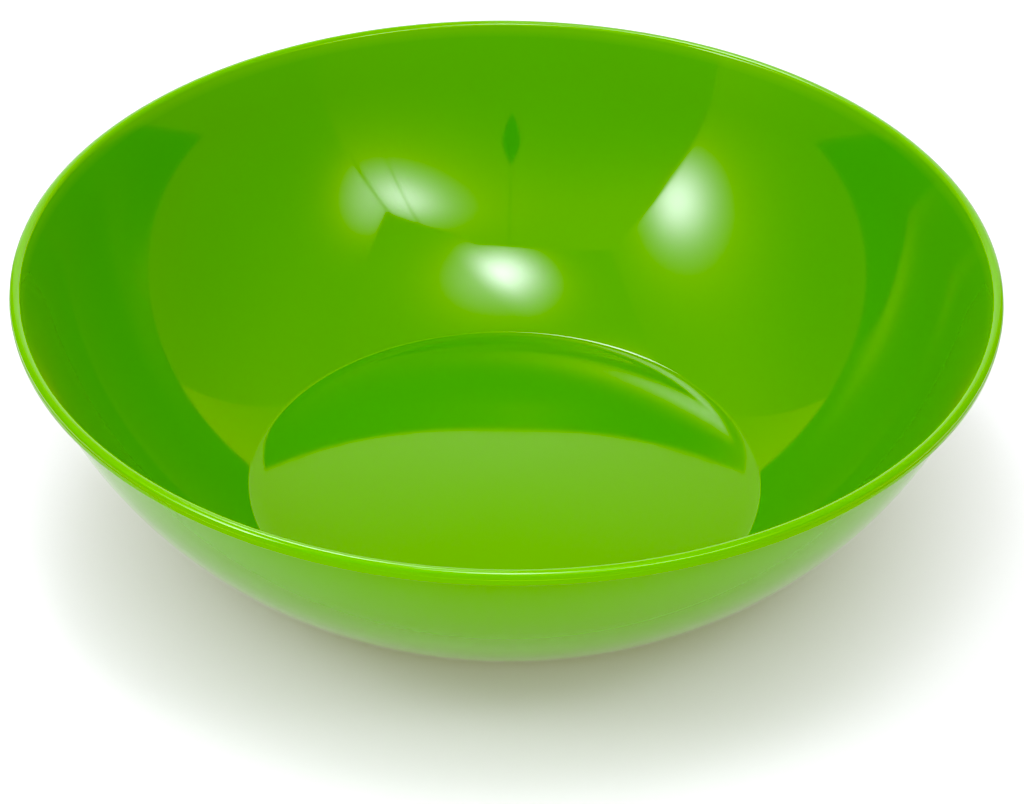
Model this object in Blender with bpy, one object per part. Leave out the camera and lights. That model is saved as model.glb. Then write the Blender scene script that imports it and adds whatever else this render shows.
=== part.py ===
"""Mixing bowl: a moulded plastic bowl with a rounded rim bead, and a rubber non-slip ring in its foot.

Metres, +Z up.  The bowl's axis is Z, and the flat underside of the ring lies on Z = 0.
Both pieces are lathed from a half section, which is a closed list of (radius, height) points.
"""
import math

import bmesh
import bpy

SEGMENTS = 80                  # flats around every lathed piece

# Driving sizes of the bowl
RIM_RADIUS = 0.1400            # widest circle, on the rim bead
WALL = 0.0018                  # thickness of the wall and of the floor
DEPTH = 0.0758                 # from the widest circle down to the edge of the inner floor
FLOOR_RADIUS = 0.0745          # inner floor, where the corner starts
FLOOR_FALL = 0.0402            # the floor is a very flat cone that falls this much per length outwards
FLOOR_APEX = 0.018             # radius of the rounding over the cone's apex
CORNER_RADIUS = 0.0037         # inside corner between floor and wall
CORNER_END = math.radians(28.3)    # slope where the corner meets the wall's long arc
WALL_RADIUS = 0.1200           # long arc of the inner wall
WALL_TOP_RADIUS = 0.1360       # inner radius where the wall runs into the rim bead

# Rim bead: a thick edge that overhangs the wall, with a broad crown that leans outwards
BEAD_INNER_BEND = 0.0010       # rounding between the inner wall and the crown
BEAD_SHOULDER = 0.0008         # rounding between the crown and the bead's upright outer face
CROWN_START = math.radians(-5)     # lean of the crown at its inner edge, outwards positive
CROWN_END = math.radians(45)       # lean of the crown at its outer edge
BEAD_DROP = 0.0022             # from the widest circle down to the underside of the bead
BEAD_LIP_CORNER = 0.0008       # rounding of the bead's lower outer edge

# Foot: a low ring under the floor, with a groove that holds the non-slip ring
RING_PROUD = 0.0008            # how far the rubber stands below the foot
FOOT_HEIGHT = 0.0034           # foot below the underside of the floor
FOOT_OUTER = 0.0680
FOOT_INNER = 0.0592
FOOT_CORNER = 0.0008           # rounding of the foot's lower edges
GROOVE_OUTER = 0.0660
GROOVE_INNER = 0.0612
GROOVE_DEPTH = 0.0026

# Non-slip ring
RING_GAP = 0.0003              # clearance between the rubber and the groove
RING_CORNER = 0.0006           # rounding of the ring's lower edges

FLOOR_UNDERSIDE = RING_PROUD + FOOT_HEIGHT
FLOOR_EDGE = FLOOR_UNDERSIDE + WALL
RIM_HEIGHT = FLOOR_EDGE + DEPTH    # height of the widest circle
FLOOR_SLOPE = -math.atan(FLOOR_FALL * FLOOR_RADIUS / math.hypot(FLOOR_RADIUS, FLOOR_APEX))


def arc(centre, radius, start, end, steps):
    """Points on an arc.  Angles are slopes of the surface: 0 is level, 90 degrees is upright."""
    points = []
    for step in range(steps + 1):
        slope = start + (end - start) * step / steps
        points.append((centre[0] + radius * math.sin(slope), centre[1] - radius * math.cos(slope)))
    return points


def join(*stretches):
    """Chain stretches of points into one outline, leaving out points that repeat."""
    outline = []
    for stretch in stretches:
        for point in stretch:
            if not outline or math.dist(point, outline[-1]) > 1e-5:
                outline.append(point)
    return outline


def crown_height(radius, edge_height):
    """Height of the coned floor at a radius, from its height at the floor's edge."""
    run = math.hypot(FLOOR_RADIUS, FLOOR_APEX) - math.hypot(radius, FLOOR_APEX)
    return edge_height + FLOOR_FALL * run


def shell_side(offset, wall_steps, corner_steps):
    """Corner and wall of one side of the shell.  offset is 0 inside and WALL outside."""
    corner_centre = (
        FLOOR_RADIUS - CORNER_RADIUS * math.sin(FLOOR_SLOPE),
        FLOOR_EDGE + CORNER_RADIUS * math.cos(FLOOR_SLOPE),
    )
    spread = WALL_RADIUS - CORNER_RADIUS
    wall_centre = (
        corner_centre[0] - spread * math.sin(CORNER_END),
        corner_centre[1] + spread * math.cos(CORNER_END),
    )
    wall_end = math.asin((WALL_TOP_RADIUS - wall_centre[0]) / WALL_RADIUS)
    corner = arc(corner_centre, CORNER_RADIUS + offset, FLOOR_SLOPE, CORNER_END, corner_steps)
    wall = arc(wall_centre, WALL_RADIUS + offset, CORNER_END, wall_end, wall_steps)
    return join(corner, wall), wall_end


def ellipse_arc(centre, across, up, start, end, steps):
    """Points on a quarter or so of an ellipse, by angle from the outward direction."""
    points = []
    for step in range(steps + 1):
        angle = start + (end - start) * step / steps
        points.append((centre[0] + across * math.cos(angle), centre[1] + up * math.sin(angle)))
    return points


def bend(start_point, radius, start, end, steps):
    """Points on an arc that begins at a point.  Angles are leans of the surface, outwards positive."""
    points = []
    for step in range(steps + 1):
        lean = start + (end - start) * step / steps
        points.append((
            start_point[0] + radius * (math.sin(lean) - math.sin(start)),
            start_point[1] + radius * (math.cos(lean) - math.cos(start)),
        ))
    return points


def rim_bead(inner_top, wall_end, outer_top):
    """The bead, from the top of the inner wall over the crown to the top of the outer wall."""
    inner = bend(inner_top, BEAD_INNER_BEND, -wall_end, CROWN_START, 3)
    crown_width = RIM_RADIUS - BEAD_SHOULDER * (1 - math.sin(CROWN_END)) - inner[-1][0]
    crown_radius = crown_width / (math.sin(CROWN_END) - math.sin(CROWN_START))
    crown = bend(inner[-1], crown_radius, CROWN_START, CROWN_END, 4)
    shoulder = bend(crown[-1], BEAD_SHOULDER, CROWN_END, math.pi / 2, 3)
    underside = RIM_HEIGHT - BEAD_DROP
    lip = ellipse_arc(
        (RIM_RADIUS - BEAD_LIP_CORNER, underside + BEAD_LIP_CORNER),
        BEAD_LIP_CORNER, BEAD_LIP_CORNER, 0, -math.pi / 2, 2,
    )
    return join(inner, crown, shoulder, lip, [(outer_top[0], underside)])


def floor_stretch(edge_height, start_radius, end_radius, steps):
    """Coned floor surface between two radii."""
    points = []
    for step in range(steps + 1):
        radius = start_radius + (end_radius - start_radius) * step / steps
        points.append((radius, crown_height(radius, edge_height)))
    return points


def foot_section():
    """Foot and groove, from the inner side of the foot out to its outer side."""
    bottom = RING_PROUD
    groove_top = RING_PROUD + GROOVE_DEPTH
    inner_corner = (FOOT_INNER + FOOT_CORNER, bottom + FOOT_CORNER)
    outer_corner = (FOOT_OUTER - FOOT_CORNER, bottom + FOOT_CORNER)
    quarter = math.pi / 2
    return join(
        [(FOOT_INNER, crown_height(FOOT_INNER, FLOOR_UNDERSIDE))],
        ellipse_arc(inner_corner, FOOT_CORNER, FOOT_CORNER, 2 * quarter, 3 * quarter, 2),
        [(GROOVE_INNER, bottom), (GROOVE_INNER, groove_top)],
        [(GROOVE_OUTER, groove_top), (GROOVE_OUTER, bottom)],
        ellipse_arc(outer_corner, FOOT_CORNER, FOOT_CORNER, 3 * quarter, 4 * quarter, 2),
        [(FOOT_OUTER, crown_height(FOOT_OUTER, FLOOR_UNDERSIDE))],
    )


def bowl_section():
    """Half section of the bowl: down the axis, under the foot, up the outside, in over the rim."""
    inside, wall_end = shell_side(0.0, 8, 3)
    outside, _ = shell_side(WALL, 8, 3)
    underside = RIM_HEIGHT - BEAD_DROP
    outside = [point for point in outside if point[1] < underside]
    last = outside[-1]
    outer_top = (last[0] + (underside - last[1]) / math.tan(wall_end), underside)
    bead = rim_bead(inside[-1], wall_end, outer_top)
    return join(
        floor_stretch(FLOOR_UNDERSIDE, 0.0, FOOT_INNER, 4)[:-1],
        foot_section(),
        outside,
        list(reversed(bead)),
        list(reversed(inside)),
        floor_stretch(FLOOR_EDGE, FLOOR_RADIUS, 0.0, 5)[1:],
    )


def ring_section():
    """Half section of the non-slip ring, a rounded strip that fills the groove and stands proud."""
    inner = GROOVE_INNER + RING_GAP
    outer = GROOVE_OUTER - RING_GAP
    top = RING_PROUD + GROOVE_DEPTH - RING_GAP
    quarter = math.pi / 2
    return join(
        [(inner, top)],
        ellipse_arc((inner + RING_CORNER, RING_CORNER), RING_CORNER, RING_CORNER,
                    2 * quarter, 3 * quarter, 3),
        ellipse_arc((outer - RING_CORNER, RING_CORNER), RING_CORNER, RING_CORNER,
                    3 * quarter, 4 * quarter, 3),
        [(outer, top)],
    )


def lathe(name, section, material, closed_ring):
    """Turn a half section around Z.  closed_ring joins its last point to its first."""
    mesh = bpy.data.meshes.new(name)
    lathed = bmesh.new()
    points = [lathed.verts.new((radius, 0.0, height)) for radius, height in section]
    edges = [lathed.edges.new(pair) for pair in zip(points, points[1:])]
    if closed_ring:
        edges.append(lathed.edges.new((points[-1], points[0])))
    bmesh.ops.spin(
        lathed, geom=points + edges, cent=(0, 0, 0), axis=(0, 0, 1),
        angle=math.tau, steps=SEGMENTS, use_merge=True,
    )
    bmesh.ops.remove_doubles(lathed, verts=lathed.verts, dist=1e-6)
    bmesh.ops.recalc_face_normals(lathed, faces=lathed.faces)
    for face in lathed.faces:
        face.smooth = True
    lathed.to_mesh(mesh)
    lathed.free()
    mesh.set_sharp_from_angle(angle=math.radians(35))
    piece = bpy.data.objects.new(name, mesh)
    bpy.context.scene.collection.objects.link(piece)
    mesh.materials.append(material)
    return piece


def plain_material(name, colour, roughness):
    material = bpy.data.materials.new(name)
    material.use_nodes = True
    shader = material.node_tree.nodes["Principled BSDF"]
    shader.inputs["Base Color"].default_value = (*colour, 1.0)
    shader.inputs["Roughness"].default_value = roughness
    shader.inputs["Metallic"].default_value = 0.0
    return material


for old in list(bpy.data.objects):
    bpy.data.objects.remove(old, do_unlink=True)

green_plastic = plain_material("green_plastic", (0.20, 0.52, 0.01), 0.08)
ring_rubber = plain_material("ring_rubber", (0.10, 0.24, 0.03), 0.75)

lathe("bowl", bowl_section(), green_plastic, closed_ring=False)
lathe("non_slip_ring", ring_section(), ring_rubber, closed_ring=True)
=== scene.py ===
"""Looks of the mixing bowl: fine meshes and materials for the moulded bowl and its non-slip ring,
on a white floor inside a white light tent, seen through a slit in the tent's front."""
import math

import bmesh
import bpy
from mathutils import Matrix, Vector


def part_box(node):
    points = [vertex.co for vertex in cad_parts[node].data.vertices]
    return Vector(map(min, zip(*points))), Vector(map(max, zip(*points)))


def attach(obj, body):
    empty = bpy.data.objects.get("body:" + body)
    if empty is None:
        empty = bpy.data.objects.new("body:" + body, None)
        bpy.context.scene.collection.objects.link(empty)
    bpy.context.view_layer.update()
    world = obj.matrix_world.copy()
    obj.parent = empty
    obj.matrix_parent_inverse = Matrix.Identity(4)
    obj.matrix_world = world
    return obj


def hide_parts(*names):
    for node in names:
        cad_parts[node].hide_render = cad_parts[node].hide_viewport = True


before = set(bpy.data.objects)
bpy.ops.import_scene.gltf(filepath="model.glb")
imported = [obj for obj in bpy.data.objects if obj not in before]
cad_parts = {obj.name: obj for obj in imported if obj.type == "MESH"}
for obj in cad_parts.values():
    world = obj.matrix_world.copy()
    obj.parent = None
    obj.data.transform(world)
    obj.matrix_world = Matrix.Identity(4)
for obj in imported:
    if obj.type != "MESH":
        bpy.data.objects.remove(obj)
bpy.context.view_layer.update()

# ---------------------------------------------------------------- sizes, in metres

bowl_low, bowl_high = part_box("bowl")
ring_low, ring_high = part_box("non_slip_ring")

SEGMENTS = 240                     # flats around every lathed piece

RIM_RADIUS = bowl_high[0]          # widest circle, on the rim bead
BEAD_INNER_BEND = 0.0017           # rounding between the inner wall and the crown
BEAD_SHOULDER = 0.0008             # rounding between the crown and the bead's upright outer face
CROWN_START = math.radians(-5)     # lean of the crown at its inner edge, outwards positive
CROWN_END = math.radians(45)
BEAD_DROP = 0.0022                 # from the widest circle down to the underside of the bead
BEAD_LIP_CORNER = 0.0007
PARTING_LINE = 0.00012             # how far the mould's parting line stands out
PARTING_DROPS = (0.00010, 0.00018, 0.00028, 0.00036)    # from the widest circle down to its four edges
LIP_STEP = 0.0004                  # spacing of the points where the wall meets the bead's underside

WALL = 0.0018
DEPTH = 0.0758                     # from the widest circle down to the edge of the inner floor
FOOT_BOTTOM = bowl_low[2]
FOOT_HEIGHT = 0.0034
FLOOR_UNDERSIDE = FOOT_BOTTOM + FOOT_HEIGHT
FLOOR_EDGE = FLOOR_UNDERSIDE + WALL
RIM_HEIGHT = FLOOR_EDGE + DEPTH    # height of the widest circle
FLOOR_RADIUS = 0.0745
FLOOR_FALL = 0.0402                # the floor is a very flat cone that falls this much per length outwards
FLOOR_APEX = 0.018                 # radius of the rounding over the cone's apex
FLOOR_SLOPE = -math.atan(FLOOR_FALL * FLOOR_RADIUS / math.hypot(FLOOR_RADIUS, FLOOR_APEX))
CORNER_RADIUS = 0.0037             # corner between the floor and the wall, on the outside
TURN_RADIUS = 0.035                # the inner floor first turns up gently, and then tighter
TURN_END = math.radians(4.0)
TIGHT_RADIUS = 0.0028
CORNER_END = math.radians(28.3)
WALL_RADIUS = 0.1200
WALL_TOP_RADIUS = 0.1360
STRAIGHT_SLOPE = math.radians(68.7)    # the wall's last stretch below the rim is straight, at this slope
STRAIGHT_DROP = 0.00085            # the straight stretch ends this much lower than the arc would

FOOT_OUTER = 0.0680
FOOT_INNER = 0.0592
FOOT_CORNER = 0.0008
GROOVE_OUTER = 0.0660
GROOVE_INNER = 0.0612
GROOVE_TOP = FOOT_BOTTOM + 0.0026
GATE_DIMPLE = 0.0052               # shallow round dimple round the moulding gate
GATE_RADIUS = 0.0011
GATE_DEPTH = 0.0004                # depth of the dimple
GATE_STUB = 0.0005                 # height of the trimmed stub in the dimple
GATE_SHOULDER = 0.0003             # height of the stub where its bevel starts

RING_GAP = 0.0003                  # clearance between the rubber and the groove
RING_CORNER = 0.0006               # rounding of the ring's lower edges
GRIP_GROOVES = 3                   # fine grooves round the ring's underside
GRIP_DEPTH = 0.0002
GRIP_HALF_WIDTH = 0.0002           # at a groove's mouth, and half of that at its bottom

# ---------------------------------------------------------------- outlines


def arc(centre, radius, start, end, steps):
    """Points on an arc.  Angles are slopes of the surface: 0 is level, 90 degrees is upright."""
    points = []
    for step in range(steps + 1):
        slope = start + (end - start) * step / steps
        points.append((centre[0] + radius * math.sin(slope), centre[1] - radius * math.cos(slope)))
    return points


def ellipse_arc(centre, across, up, start, end, steps):
    """Points on part of an ellipse, by angle from the outward direction."""
    points = []
    for step in range(steps + 1):
        angle = start + (end - start) * step / steps
        points.append((centre[0] + across * math.cos(angle), centre[1] + up * math.sin(angle)))
    return points


def join(*stretches):
    """Chain stretches of points into one outline, leaving out points that repeat."""
    outline = []
    for stretch in stretches:
        for point in stretch:
            if not outline or math.dist(point, outline[-1]) > 1e-6:
                outline.append(point)
    return outline


def crown_height(radius, edge_height):
    """Height of the coned floor at a radius, from its height at the floor's edge."""
    run = math.hypot(FLOOR_RADIUS, FLOOR_APEX) - math.hypot(radius, FLOOR_APEX)
    return edge_height + FLOOR_FALL * run


def floor_stretch(edge_height, start_radius, end_radius, steps):
    """Coned floor surface between two radii."""
    points = []
    for step in range(steps + 1):
        radius = start_radius + (end_radius - start_radius) * step / steps
        points.append((radius, crown_height(radius, edge_height)))
    return points


def wall_arc(offset, steps):
    """The long arc of the wall.  offset is 0 inside and WALL outside."""
    corner_centre = (
        FLOOR_RADIUS - CORNER_RADIUS * math.sin(FLOOR_SLOPE),
        FLOOR_EDGE + CORNER_RADIUS * math.cos(FLOOR_SLOPE),
    )
    spread = WALL_RADIUS - CORNER_RADIUS
    wall_centre = (
        corner_centre[0] - spread * math.sin(CORNER_END),
        corner_centre[1] + spread * math.cos(CORNER_END),
    )
    wall_end = math.asin((WALL_TOP_RADIUS - wall_centre[0]) / WALL_RADIUS)
    return corner_centre, arc(wall_centre, WALL_RADIUS + offset, CORNER_END, wall_end, steps), wall_end


def outer_side():
    """Corner and wall outside."""
    corner_centre, wall, wall_end = wall_arc(WALL, 44)
    return join(arc(corner_centre, CORNER_RADIUS + WALL, FLOOR_SLOPE, CORNER_END, 12), wall), wall_end


def inner_side():
    """Corner and wall inside.  The corner ends where the wall begins, and is built back from there."""
    _, curved, _ = wall_arc(0.0, 88)
    top_height = curved[-1][1] - STRAIGHT_DROP
    wall = [curved[0]]
    for point in curved[1:]:
        rise = math.atan2(point[1] - wall[-1][1], point[0] - wall[-1][0])
        if rise > STRAIGHT_SLOPE:
            break
        wall.append(point)
    last = wall[-1]
    for step in range(1, 9):
        height = last[1] + (top_height - last[1]) * step / 8
        wall.append((last[0] + (height - last[1]) / math.tan(STRAIGHT_SLOPE), height))
    wall_foot = wall[0]
    tight_centre = (
        wall_foot[0] - TIGHT_RADIUS * math.sin(CORNER_END),
        wall_foot[1] + TIGHT_RADIUS * math.cos(CORNER_END),
    )
    spread = TURN_RADIUS - TIGHT_RADIUS
    turn_centre = (
        tight_centre[0] - spread * math.sin(TURN_END),
        tight_centre[1] + spread * math.cos(TURN_END),
    )
    turn = arc(turn_centre, TURN_RADIUS, FLOOR_SLOPE, TURN_END, 12)
    tight = arc(tight_centre, TIGHT_RADIUS, TURN_END, CORNER_END, 12)
    return join(turn, tight, wall)


def bend(start_point, radius, start, end, steps):
    """Points on an arc that begins at a point.  Angles are leans of the surface, outwards positive."""
    points = []
    for step in range(steps + 1):
        lean = start + (end - start) * step / steps
        points.append((
            start_point[0] + radius * (math.sin(lean) - math.sin(start)),
            start_point[1] + radius * (math.cos(lean) - math.cos(start)),
        ))
    return points


def rim_bead(inner_top, inner_slope, outer_top):
    """The bead, over its crown, down past the parting line and in under its lip."""
    quarter = math.pi / 2
    face_radius = RIM_RADIUS - PARTING_LINE
    inner = bend(inner_top, BEAD_INNER_BEND, -inner_slope, CROWN_START, 8)
    crown_width = face_radius - BEAD_SHOULDER * (1 - math.sin(CROWN_END)) - inner[-1][0]
    crown_radius = crown_width / (math.sin(CROWN_END) - math.sin(CROWN_START))
    crown = bend(inner[-1], crown_radius, CROWN_START, CROWN_END, 12)
    shoulder = bend(crown[-1], BEAD_SHOULDER, CROWN_END, quarter, 8)
    upper, face_top, face_bottom, lower = (RIM_HEIGHT - drop for drop in PARTING_DROPS)
    parting = [
        (face_radius, upper),
        (RIM_RADIUS, face_top),
        (RIM_RADIUS, face_bottom),
        (face_radius, lower),
    ]
    underside = RIM_HEIGHT - BEAD_DROP
    lip = ellipse_arc(
        (face_radius - BEAD_LIP_CORNER, underside + BEAD_LIP_CORNER),
        BEAD_LIP_CORNER, BEAD_LIP_CORNER, 0, -quarter, 5,
    )
    return join(inner, crown, shoulder, parting, lip, [(outer_top[0] + LIP_STEP, underside), outer_top])


def foot_section():
    """Foot and groove, from the inner side of the foot out to its outer side."""
    quarter = math.pi / 2
    inner_corner = (FOOT_INNER + FOOT_CORNER, FOOT_BOTTOM + FOOT_CORNER)
    outer_corner = (FOOT_OUTER - FOOT_CORNER, FOOT_BOTTOM + FOOT_CORNER)
    return join(
        [(FOOT_INNER, crown_height(FOOT_INNER, FLOOR_UNDERSIDE))],
        ellipse_arc(inner_corner, FOOT_CORNER, FOOT_CORNER, 2 * quarter, 3 * quarter, 6),
        [(GROOVE_INNER, FOOT_BOTTOM), (GROOVE_INNER, GROOVE_TOP)],
        [(GROOVE_OUTER, GROOVE_TOP), (GROOVE_OUTER, FOOT_BOTTOM)],
        ellipse_arc(outer_corner, FOOT_CORNER, FOOT_CORNER, 3 * quarter, 4 * quarter, 6),
        [(FOOT_OUTER, crown_height(FOOT_OUTER, FLOOR_UNDERSIDE))],
    )


def gate_mark():
    """The moulding gate's trimmed stub in its dimple, from the axis outwards."""
    deep = FLOOR_UNDERSIDE + GATE_DEPTH + crown_height(0, 0)
    rise = crown_height(GATE_DIMPLE, FLOOR_UNDERSIDE)
    return [
        (0.0, deep - GATE_STUB),
        (GATE_RADIUS * 0.8, deep - GATE_STUB),
        (GATE_RADIUS, deep - GATE_SHOULDER),
        (GATE_RADIUS * 1.1, deep),
        (GATE_DIMPLE * 0.6, deep),
        (GATE_DIMPLE, rise),
    ]


def bowl_section():
    """Half section of the bowl: under the floor and foot, up the outside, in over the rim, down inside."""
    inside = inner_side()
    outside, wall_end = outer_side()
    underside = RIM_HEIGHT - BEAD_DROP
    outside = [point for point in outside if point[1] < underside - LIP_STEP]
    last = outside[-1]
    outer_top = (last[0] + (underside - last[1]) / math.tan(wall_end), underside)
    bead = rim_bead(inside[-1], STRAIGHT_SLOPE, outer_top)
    turn_foot = inside[0]
    return join(
        gate_mark(),
        floor_stretch(FLOOR_UNDERSIDE, GATE_DIMPLE, FOOT_INNER, 8)[:-1],
        foot_section(),
        outside,
        list(reversed(bead)),
        list(reversed(inside)),
        floor_stretch(turn_foot[1] - crown_height(turn_foot[0], 0.0), turn_foot[0], 0.0, 20)[1:],
    )


def ring_section():
    """Half section of the ring: a strip with rounded lower edges and fine grip grooves."""
    inner = GROOVE_INNER + RING_GAP
    outer = GROOVE_OUTER - RING_GAP
    corner = RING_CORNER
    quarter = math.pi / 2
    low = ring_low[2]
    grooves = []
    for step in range(GRIP_GROOVES):
        centre = inner + (outer - inner) * (step + 1) / (GRIP_GROOVES + 1)
        grooves += [(centre - GRIP_HALF_WIDTH, low), (centre - GRIP_HALF_WIDTH / 2, low + GRIP_DEPTH)]
        grooves += [(centre + GRIP_HALF_WIDTH / 2, low + GRIP_DEPTH), (centre + GRIP_HALF_WIDTH, low)]
    return join(
        [(inner, ring_high[2])],
        ellipse_arc((inner + corner, low + corner), corner, corner, 2 * quarter, 3 * quarter, 5),
        grooves,
        ellipse_arc((outer - corner, low + corner), corner, corner, 3 * quarter, 4 * quarter, 5),
        [(outer, ring_high[2])],
    )


# ---------------------------------------------------------------- meshes


def lathe(name, section, closed_ring):
    """Turn a half section around Z.  closed_ring joins its last point to its first."""
    mesh = bpy.data.meshes.new(name)
    lathed = bmesh.new()
    points = [lathed.verts.new((radius, 0.0, height)) for radius, height in section]
    edges = [lathed.edges.new(pair) for pair in zip(points, points[1:])]
    if closed_ring:
        edges.append(lathed.edges.new((points[-1], points[0])))
    bmesh.ops.spin(
        lathed, geom=points + edges, cent=(0, 0, 0), axis=(0, 0, 1),
        angle=math.tau, steps=SEGMENTS, use_merge=True,
    )
    bmesh.ops.remove_doubles(lathed, verts=lathed.verts, dist=1e-7)
    bmesh.ops.recalc_face_normals(lathed, faces=lathed.faces)
    for face in lathed.faces:
        face.smooth = True
    lathed.to_mesh(mesh)
    lathed.free()
    mesh.set_sharp_from_angle(angle=math.radians(40))
    piece = bpy.data.objects.new(name, mesh)
    bpy.context.scene.collection.objects.link(piece)
    return piece


# ---------------------------------------------------------------- materials


class Nodes:
    """Short way to build a node tree: each call adds a node and links its inputs."""

    def __init__(self, owner):
        owner.use_nodes = True
        self.tree = owner.node_tree
        self.tree.nodes.clear()

    def add(self, kind, settings=None, **inputs):
        node = self.tree.nodes.new(kind)
        for name, value in (settings or {}).items():
            setattr(node, name, value)
        for name, value in inputs.items():
            key = int(name[1:]) if name[1:].isdigit() else name.replace("_", " ")
            socket = node.inputs[key]
            if isinstance(value, bpy.types.NodeSocket):
                self.tree.links.new(value, socket)
            else:
                socket.default_value = value
        return node

    def maths(self, operation, first, second=0.0, third=0.0):
        node = self.add("ShaderNodeMath", {"operation": operation}, _0=first, _1=second, _2=third)
        return node.outputs[0]

    def mix(self, factor, first, second):
        """Colour between first and second, by a factor from 0 to 1."""
        node = self.add("ShaderNodeMix", {"data_type": "RGBA"}, _0=factor, _6=first, _7=second)
        return node.outputs[2]

    def ramp(self, value, low, high, at_low=0.0, at_high=1.0, kind="LINEAR"):
        """Value mapped from one range onto another, and held at both ends."""
        node = self.add(
            "ShaderNodeMapRange", {"interpolation_type": kind}, Value=value,
            From_Min=low, From_Max=high, To_Min=at_low, To_Max=at_high,
        )
        return node.outputs[0]

    def noise(self, place, scale, detail, roughness=0.5):
        node = self.add(
            "ShaderNodeTexNoise", Vector=place, Scale=scale, Detail=detail, Roughness=roughness,
        )
        return node.outputs[0]


BODY_GREEN = (0.0160, 0.160, 0.0006, 1.0)
BODY_GREEN_CLOUDS = (0.0190, 0.171, 0.0009, 1.0)
# painted reflection: a paler green for the downward-facing outside, standing in for the bright floor
# mirrored in it
OUTSIDE_GREEN_PAINTED_REFLECTION = (0.0285, 0.167, 0.0140, 1.0)
# painted light: a lighter green on the rim, standing in for light that the thin bead catches and lets
# through
RIM_GREEN_PAINTED_LIGHT = (0.036, 0.186, 0.0009, 1.0)
WIPING_STRETCH = 420.0             # draws the wiping marks out into arcs round the bowl's axis
RIM_ROUGHNESS = 0.11               # added on the rim
OUTSIDE_ROUGHNESS = 0.03           # added on the outside
RUBBER = (0.085, 0.21, 0.025, 1.0)
RUBBER_CLOUDS = (0.115, 0.27, 0.035, 1.0)


def green_plastic():
    """Glossy moulded plastic with a thin film of wiping marks.

    The colour is slightly uneven.  The rim is less glossy, and painted lighter: painted light that the
    thin bead catches and lets through.  The outside, where it faces down, is painted paler: a painted
    reflection of the bright floor.
    """
    material = bpy.data.materials.new("green_plastic")
    make = Nodes(material)
    place = make.add("ShaderNodeTexCoord").outputs["Object"]
    parts = make.add("ShaderNodeSeparateXYZ", Vector=place).outputs
    squares = make.maths("ADD", make.maths("POWER", parts[0], 2.0), make.maths("POWER", parts[1], 2.0))
    radius = make.maths("SQRT", squares)
    angle = make.maths("ARCTAN2", parts[1], parts[0])

    cloud = make.noise(place, 22.0, 2.0)
    body_tone = make.mix(cloud, BODY_GREEN, BODY_GREEN_CLOUDS)
    lip_height = RIM_HEIGHT - BEAD_DROP
    above_lip = make.ramp(parts[2], lip_height - 0.0003, lip_height)
    beyond_wall = make.ramp(radius, WALL_TOP_RADIUS - 0.0006, WALL_TOP_RADIUS + 0.0004)
    on_rim = make.maths("MULTIPLY", above_lip, beyond_wall)
    facing = make.add("ShaderNodeNewGeometry").outputs["Normal"]
    upward = make.add("ShaderNodeSeparateXYZ", Vector=facing).outputs[2]
    # Where the surface faces down, on the outside, the colour is painted paler as a painted reflection of
    # the floor; the same mask also adds a little roughness
    outside = make.ramp(upward, -0.05, -0.20)
    painted_reflection_tone = make.mix(outside, body_tone, OUTSIDE_GREEN_PAINTED_REFLECTION)
    # The rim is painted lighter, as painted light on and through the thin bead; on_rim also adds the rim's
    # real roughness
    tone = make.mix(on_rim, painted_reflection_tone, RIM_GREEN_PAINTED_LIGHT)

    film = make.noise(place, 60.0, 4.0)
    stretched = make.maths("MULTIPLY", radius, WIPING_STRETCH)
    around = make.add("ShaderNodeCombineXYZ", _0=stretched, _1=angle, _2=parts[2]).outputs[0]
    wiping = make.noise(around, 2.2, 5.0, 0.65)
    uneven = make.maths("ADD", make.maths("MULTIPLY", film, 0.6), make.maths("MULTIPLY", wiping, 0.4))
    gloss = make.ramp(uneven, 0.35, 0.65, 0.035, 0.075)
    gloss = make.maths("ADD", gloss, make.maths("MULTIPLY", on_rim, RIM_ROUGHNESS))
    gloss = make.maths("ADD", gloss, make.maths("MULTIPLY", outside, OUTSIDE_ROUGHNESS))

    ripple = make.noise(place, 90.0, 1.0)
    waves = make.add("ShaderNodeBump", Height=ripple, Strength=0.022, Distance=0.0002).outputs[0]
    shader = make.add(
        "ShaderNodeBsdfPrincipled", Base_Color=tone, Roughness=gloss, IOR=1.5, Normal=waves,
        Sheen_Weight=0.05, Sheen_Roughness=0.4,
    )
    make.add("ShaderNodeOutputMaterial", Surface=shader.outputs[0])
    return material


def ring_rubber():
    """Matt green rubber with a fine grain."""
    material = bpy.data.materials.new("ring_rubber")
    make = Nodes(material)
    place = make.add("ShaderNodeTexCoord").outputs["Object"]
    cloud = make.noise(place, 90.0, 3.0)
    tone = make.mix(cloud, RUBBER, RUBBER_CLOUDS)
    gloss = make.ramp(cloud, 0.3, 0.7, 0.66, 0.82)
    grain = make.noise(place, 1800.0, 2.0)
    bump = make.add("ShaderNodeBump", Height=grain, Strength=0.3, Distance=0.00008).outputs[0]
    shader = make.add("ShaderNodeBsdfPrincipled", Base_Color=tone, Roughness=gloss, Normal=bump)
    make.add("ShaderNodeOutputMaterial", Surface=shader.outputs[0])
    return material


# ---------------------------------------------------------------- the object

bowl = lathe("moulded_bowl", bowl_section(), closed_ring=False)
bowl.data.materials.append(green_plastic())
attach(bowl, "root")
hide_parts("bowl")

ring = lathe("rubber_foot_ring", ring_section(), closed_ring=True)
ring.data.materials.append(ring_rubber())
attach(ring, "root")
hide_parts("non_slip_ring")

# ---------------------------------------------------------------- floor

FLOOR_HALF = 2.4                   # half the side of the square floor
FLOOR_GAP = 0.0002                 # keeps the floor just clear of the ring
PAPER = (0.46, 0.463, 0.463, 1.0)
PAPER_CLOUDS = (0.48, 0.48, 0.48, 1.0)


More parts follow.
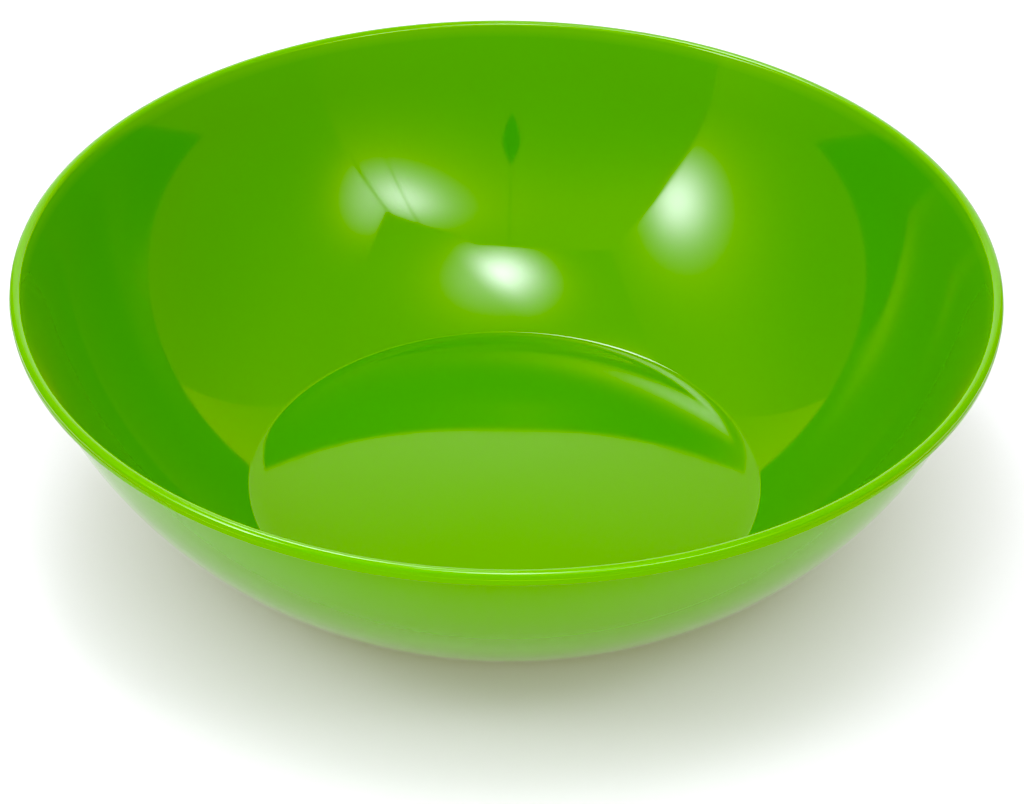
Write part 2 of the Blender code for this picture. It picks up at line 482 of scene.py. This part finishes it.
def white_paper():
    """White paper that glows a little, a painted glow of light.  The glow fades near the bowl, a painted
    shadow that keeps the shadow there deep.
    """
    material = bpy.data.materials.new("white_paper")
    make = Nodes(material)
    place = make.add("ShaderNodeTexCoord").outputs["Object"]
    cloud = make.noise(place, 6.0, 3.0)
    tone = make.mix(cloud, PAPER, PAPER_CLOUDS)
    from_bowl = make.add("ShaderNodeVectorMath", {"operation": "LENGTH"}, _0=place).outputs["Value"]
    # painted light and shadow: the paper's glow, lowered near the bowl as a painted shadow round its foot
    painted_glow_and_shadow = make.ramp(from_bowl, 0.085, 0.16, 0.02, 0.135, "SMOOTHSTEP")
    shader = make.add(
        "ShaderNodeBsdfPrincipled", Base_Color=tone, Roughness=0.55,
        Emission_Color=(1.0, 1.0, 1.0, 1.0), Emission_Strength=painted_glow_and_shadow,
    )
    make.add("ShaderNodeOutputMaterial", Surface=shader.outputs[0])
    return material


floor_mesh = bpy.data.meshes.new("floor")
corners = [(-1, -1), (1, -1), (1, 1), (-1, 1)]
floor_mesh.from_pydata([(x * FLOOR_HALF, y * FLOOR_HALF, 0.0) for x, y in corners], [], [(0, 1, 2, 3)])
floor = bpy.data.objects.new("floor", floor_mesh)
floor.location.z = ring_low[2] - FLOOR_GAP
floor_mesh.materials.append(white_paper())
bpy.context.scene.collection.objects.link(floor)

# ---------------------------------------------------------------- light tent

TENT_FRONT = -0.40
TENT_BACK = 0.55
TENT_TOP = 1.00
LOW_LEVEL_END = 0.25               # below this height a panel has its low level
BASE_LEVEL_START = 0.70            # and above this height its base level
LEAF_POWER = 1.6                   # rounds the slit's two sides into a leaf shape
FOLD_HEIGHT = 0.6                  # height at which a fold's x is given
FOLD_START = 0.40                  # a fold fades in from this height
FOLD_FULL = 0.55                   # up to this one


def glow_material(name, base, spots, low_level=None, slit=None, folds=()):
    """Light from a tent panel: a base level, with round hot spots at (position, radius, strength).

    low_level is the level near the ground, where it differs from the base level.  slit is a dark leaf
    shape, (x, z) and its half sizes.  A fold is a thin darker line: x, lean, half width and depth.
    """
    material = bpy.data.materials.new(name)
    make = Nodes(material)
    place = make.add("ShaderNodeNewGeometry").outputs["Position"]
    parts = make.add("ShaderNodeSeparateXYZ", Vector=place).outputs
    level = base
    if low_level is not None:
        level = make.ramp(parts[2], LOW_LEVEL_END, BASE_LEVEL_START, low_level, base, "SMOOTHSTEP")
    for centre, radius, strength in spots:
        distance = make.add("ShaderNodeVectorMath", {"operation": "DISTANCE"}, _0=place, _1=centre)
        scaled = make.maths("DIVIDE", distance.outputs["Value"], radius)
        power = make.maths("MULTIPLY", make.maths("MULTIPLY", scaled, scaled), -1.0)
        glow = make.maths("MULTIPLY", make.maths("EXPONENT", power), strength)
        level = make.maths("ADD", glow, level)
    if slit:
        (slit_x, slit_z), (half_wide, half_tall) = slit
        from_middle = make.maths("ABSOLUTE", make.maths("SUBTRACT", parts[0], slit_x))
        aside = make.maths("DIVIDE", from_middle, half_wide)
        from_waist = make.maths("ABSOLUTE", make.maths("SUBTRACT", parts[2], slit_z))
        above = make.maths("POWER", make.maths("DIVIDE", from_waist, half_tall), LEAF_POWER)
        outside = make.maths("GREATER_THAN", make.maths("ADD", aside, above), 1.0)
        level = make.maths("MULTIPLY", level, outside)
    for fold_x, lean, half_width, depth in folds:
        rise = make.maths("SUBTRACT", parts[2], FOLD_HEIGHT)
        line = make.maths("ADD", make.maths("MULTIPLY", rise, lean), fold_x)
        off = make.maths("DIVIDE", make.maths("SUBTRACT", parts[0], line), half_width)
        dark = make.maths("EXPONENT", make.maths("MULTIPLY", make.maths("MULTIPLY", off, off), -1.0))
        fade = make.ramp(parts[2], FOLD_START, FOLD_FULL, 0.0, depth)
        kept = make.maths("SUBTRACT", 1.0, make.maths("MULTIPLY", dark, fade))
        level = make.maths("MULTIPLY", level, kept)
    glow = make.add("ShaderNodeEmission", Color=(1.0, 1.0, 1.0, 1.0), Strength=level)
    make.add("ShaderNodeOutputMaterial", Surface=glow.outputs[0])
    return material


def panel(name, corners, material):
    """One flat panel of the tent.  It lights the bowl and shows in its gloss, but not to the camera."""
    mesh = bpy.data.meshes.new(name)
    mesh.from_pydata(corners, [], [tuple(range(len(corners)))])
    mesh.materials.append(material)
    piece = bpy.data.objects.new(name, mesh)
    piece.visible_camera = False
    piece.visible_shadow = False
    bpy.context.scene.collection.objects.link(piece)
    return piece


# The tent's cloth hangs from a bent frame: its walls lean in, and the edge over the front panel sags.
LEFT_FOOT = (-0.589, TENT_FRONT, 0.0)
RIGHT_FOOT = (0.522, TENT_FRONT, 0.0)
BACK_LEFT_FOOT = (-0.50, TENT_BACK, 0.0)
BACK_RIGHT_FOOT = (0.52, TENT_BACK, 0.0)
LEFT_HEAD = (-0.452, TENT_FRONT, 1.08)
RIGHT_HEAD = (0.422, TENT_FRONT, 0.73)
BACK_LEFT_HEAD = (-0.45, TENT_BACK, 1.0)
BACK_RIGHT_HEAD = (0.48, TENT_BACK, 1.0)
SAG = [(0.275, 0.83), (0.19, 0.865), (0.12, 0.975), (-0.05, 1.0), (-0.225, 1.04)]
front_top = [RIGHT_HEAD] + [(x, TENT_FRONT, z) for x, z in SAG] + [LEFT_HEAD]

RIGHT_LAMP = [((0.322, TENT_FRONT, 0.630), 0.105, 9.0), ((0.322, TENT_FRONT, 0.62), 0.25, 2.8)]
LEFT_LAMP = [((-0.509, -0.322, 0.562), 0.122, 13.2), ((-0.509, -0.30, 0.57), 0.29, 3.3)]
TOP_LAMP = [((0.021, -0.246, TENT_TOP), 0.106, 16.5), ((0.026, -0.21, TENT_TOP), 0.20, 5.6)]
REAR_LAMP = [((-0.21, 0.40, TENT_TOP), 0.15, 21.0)]
RIGHT_SPILL = [((0.40, TENT_FRONT, 0.62), 0.16, 6.0)]
BACK_GLOW = [((0.0, TENT_BACK, 0.45), 0.40, 0.6)]
SLIT = ((-0.007, 0.374), (0.020, 0.086))
FOLDS = [(0.318, -0.04, 0.005, 0.45), (0.428, -0.13, 0.007, 0.6), (-0.007, 0.0, 0.004, 0.28)]

panel(
    "tent_front", [LEFT_FOOT, RIGHT_FOOT] + front_top,
    glow_material("tent_front_glow", 2.1, RIGHT_LAMP, low_level=1.0, slit=SLIT, folds=FOLDS),
)
panel(
    "tent_left", [LEFT_FOOT, LEFT_HEAD, BACK_LEFT_HEAD, BACK_LEFT_FOOT],
    glow_material("tent_left_glow", 1.7, LEFT_LAMP, low_level=0.9),
)
panel(
    "tent_right", [RIGHT_FOOT, BACK_RIGHT_FOOT, BACK_RIGHT_HEAD, RIGHT_HEAD],
    glow_material("tent_right_glow", 1.4, RIGHT_SPILL, low_level=1.0),
)
panel(
    "tent_back", [BACK_LEFT_FOOT, BACK_LEFT_HEAD, BACK_RIGHT_HEAD, BACK_RIGHT_FOOT],
    glow_material("tent_back_glow", 1.7, BACK_GLOW),
)
panel(
    "tent_top", front_top + [BACK_LEFT_HEAD, BACK_RIGHT_HEAD],
    glow_material("tent_top_glow", 1.5, TOP_LAMP + REAR_LAMP),
)

# A low fill lights the outside of the bowl from the front, and doesn't show in its gloss
FILL_HALF = 0.50
FILL_LOW = 0.02
FILL_HIGH = 0.32
fill_front = TENT_FRONT + 0.01
fill_corners = [
    (-FILL_HALF, fill_front, FILL_LOW),
    (FILL_HALF, fill_front, FILL_LOW),
    (FILL_HALF, fill_front, FILL_HIGH),
    (-FILL_HALF, fill_front, FILL_HIGH),
]
fill = panel("fill", fill_corners, glow_material("fill_glow", 3.8, []))
fill.visible_glossy = False

world = bpy.data.worlds.new("dark_room")
world.use_nodes = True
background = world.node_tree.nodes["Background"]
background.inputs["Color"].default_value = (0.9, 0.95, 1.0, 1.0)
background.inputs["Strength"].default_value = 0.02
bpy.context.scene.world = world

# ---------------------------------------------------------------- camera

RIM_CENTRE = Vector((0.0, 0.0, RIM_HEIGHT))
CAMERA_DISTANCE = 6.37 * RIM_RADIUS
CAMERA_ELEVATION = math.radians(33.71)
CAMERA_AIM = RIM_CENTRE + Vector((0.0019, 0.0, -0.0476))
CAMERA_ROLL = math.radians(0.71)
LENS = 110.4

camera_data = bpy.data.cameras.new("camera")
camera_data.lens = LENS
camera_data.sensor_width = 36.0
camera_data.clip_start = 0.05
camera = bpy.data.objects.new("camera", camera_data)
bpy.context.scene.collection.objects.link(camera)
away = Vector((0.0, -math.cos(CAMERA_ELEVATION), math.sin(CAMERA_ELEVATION)))
camera.location = RIM_CENTRE + CAMERA_DISTANCE * away
look = (CAMERA_AIM - camera.location).to_track_quat("-Z", "Y").to_matrix()
camera.rotation_euler = (look @ Matrix.Rotation(CAMERA_ROLL, 3, "Z")).to_euler()
bpy.context.scene.camera = camera

grading = bpy.context.scene.view_settings
grading.view_transform = "Standard"
grading.use_curve_mapping = True
grading.curve_mapping.black_level = (0.0, 0.0, 0.13)    # strong colours lose their last trace of blue
grading.curve_mapping.update()
